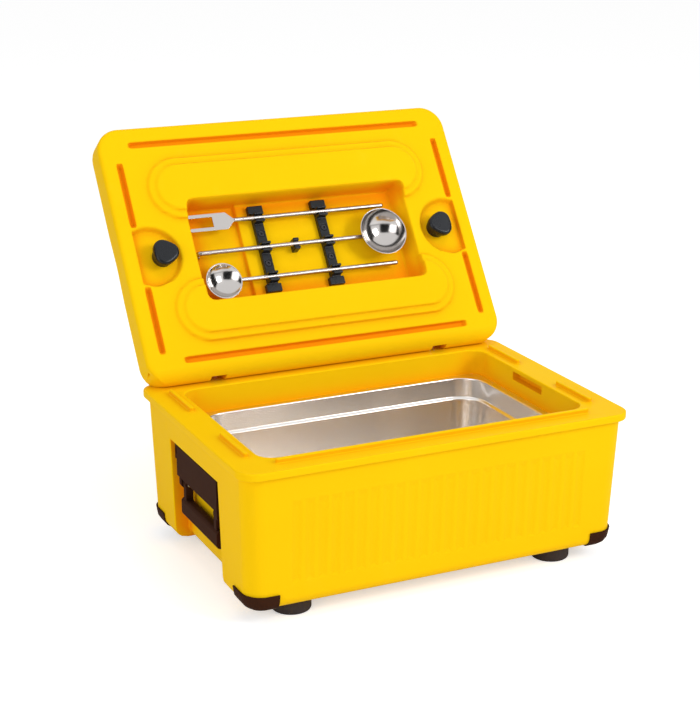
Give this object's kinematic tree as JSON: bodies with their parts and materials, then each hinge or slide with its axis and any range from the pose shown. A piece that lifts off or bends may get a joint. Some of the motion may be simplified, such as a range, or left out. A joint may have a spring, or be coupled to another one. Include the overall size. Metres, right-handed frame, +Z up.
{
  "type": "insulated food carrier",
  "caption": "Double-walled food transport box with a food pan hung in its tub, a hinged insulated lid with turning latches and clipped serving tools, and drop handles on its ends.",
  "frame": {"origin": "on the floor, midway between the four feet", "axes": "+X to the right and +Y to the rear as seen from the front, +Z up"},
  "size_m": [0.644, 0.6772, 0.6204],
  "materials": {
    "yellow_plastic": "semi-gloss moulded",
    "foam": "matt foam",
    "brown_plastic": "satin moulded",
    "foot_rubber": "matt",
    "black_plastic": "satin moulded",
    "fastener_steel": "plain",
    "stainless_steel": "polished"
  },
  "bodies": {
    "tub": {"tub_outer_shell": "yellow_plastic", "tub_inner_liner": "yellow_plastic", "tub_insulation": "foam", "guard_front_left": "brown_plastic", "guard_front_right": "brown_plastic", "guard_rear_left": "brown_plastic", "guard_rear_right": "brown_plastic", "foot_front_left": "foot_rubber", "foot_front_right": "foot_rubber", "foot_rear_left": "foot_rubber", "foot_rear_right": "foot_rubber", "foot_screws": "fastener_steel", "handle_bracket_left": "brown_plastic", "handle_bracket_right": "brown_plastic", "handle_pins": "fastener_steel", "handle_screws": "fastener_steel", "hinge_arm_left": "yellow_plastic", "hinge_arm_right": "yellow_plastic", "hinge_screws": "fastener_steel"},
    "lid": {"lid_outer_shell": "yellow_plastic", "lid_inner_panel": "yellow_plastic", "lid_insulation": "foam", "hinge_pins": "fastener_steel", "latch_bushings": "black_plastic", "clip_rail_left": "black_plastic", "clip_rail_right": "black_plastic", "rail_screws": "fastener_steel", "centre_clip": "black_plastic"},
    "pan": {"food_pan": "stainless_steel"},
    "handle_left": {"handle_bail_left": "brown_plastic"},
    "handle_right": {"handle_bail_right": "brown_plastic"},
    "latch_left": {"latch_cam_left": "black_plastic", "latch_knob_left": "black_plastic"},
    "latch_right": {"latch_cam_right": "black_plastic", "latch_knob_right": "black_plastic"},
    "fork": {"fork_head": "stainless_steel", "fork_handle": "stainless_steel"},
    "ladle": {"ladle_bowl": "stainless_steel", "ladle_handle": "stainless_steel"},
    "spoon": {"spoon_head": "stainless_steel", "spoon_handle": "stainless_steel"}
  },
  "joints": [
    {"name": "lid_hinge", "type": "hinge", "parent": "tub", "child": "lid", "pos_m": [0, 0.197, 0.266], "axis": [-1, 0, 0], "range_deg": [-125, 0]},
    {"name": "latch_left_turn", "type": "hinge", "parent": "lid", "child": "latch_left", "pos_m": [-0.25, 0.28706, 0.43367], "axis": [0, -0.8192, 0.5736], "range_deg": [-60, 0]},
    {"name": "latch_right_turn", "type": "hinge", "parent": "lid", "child": "latch_right", "pos_m": [0.25, 0.28706, 0.43367], "axis": [0, -0.8192, 0.5736], "range_deg": [-60, 0]},
    {"name": "handle_left_swing", "type": "hinge", "parent": "tub", "child": "handle_left", "pos_m": [-0.298, 0, 0.127], "axis": [0, 1, 0], "range_deg": [0, 90]},
    {"name": "handle_right_swing", "type": "hinge", "parent": "tub", "child": "handle_right", "pos_m": [0.298, 0, 0.127], "axis": [0, -1, 0], "range_deg": [0, 90]},
    {"name": "pan_lift", "type": "slide", "parent": "tub", "child": "pan", "axis": [0, 0, 1], "range_m": [0, 0.2]},
    {"name": "fork_out", "type": "slide", "parent": "lid", "child": "fork", "axis": [0, -0.8192, 0.5736], "range_m": [0, 0.06]},
    {"name": "ladle_out", "type": "slide", "parent": "lid", "child": "ladle", "axis": [0, -0.8192, 0.5736], "range_m": [0, 0.06]},
    {"name": "spoon_out", "type": "slide", "parent": "lid", "child": "spoon", "axis": [0, -0.8192, 0.5736], "range_m": [0, 0.06]}
  ]
}
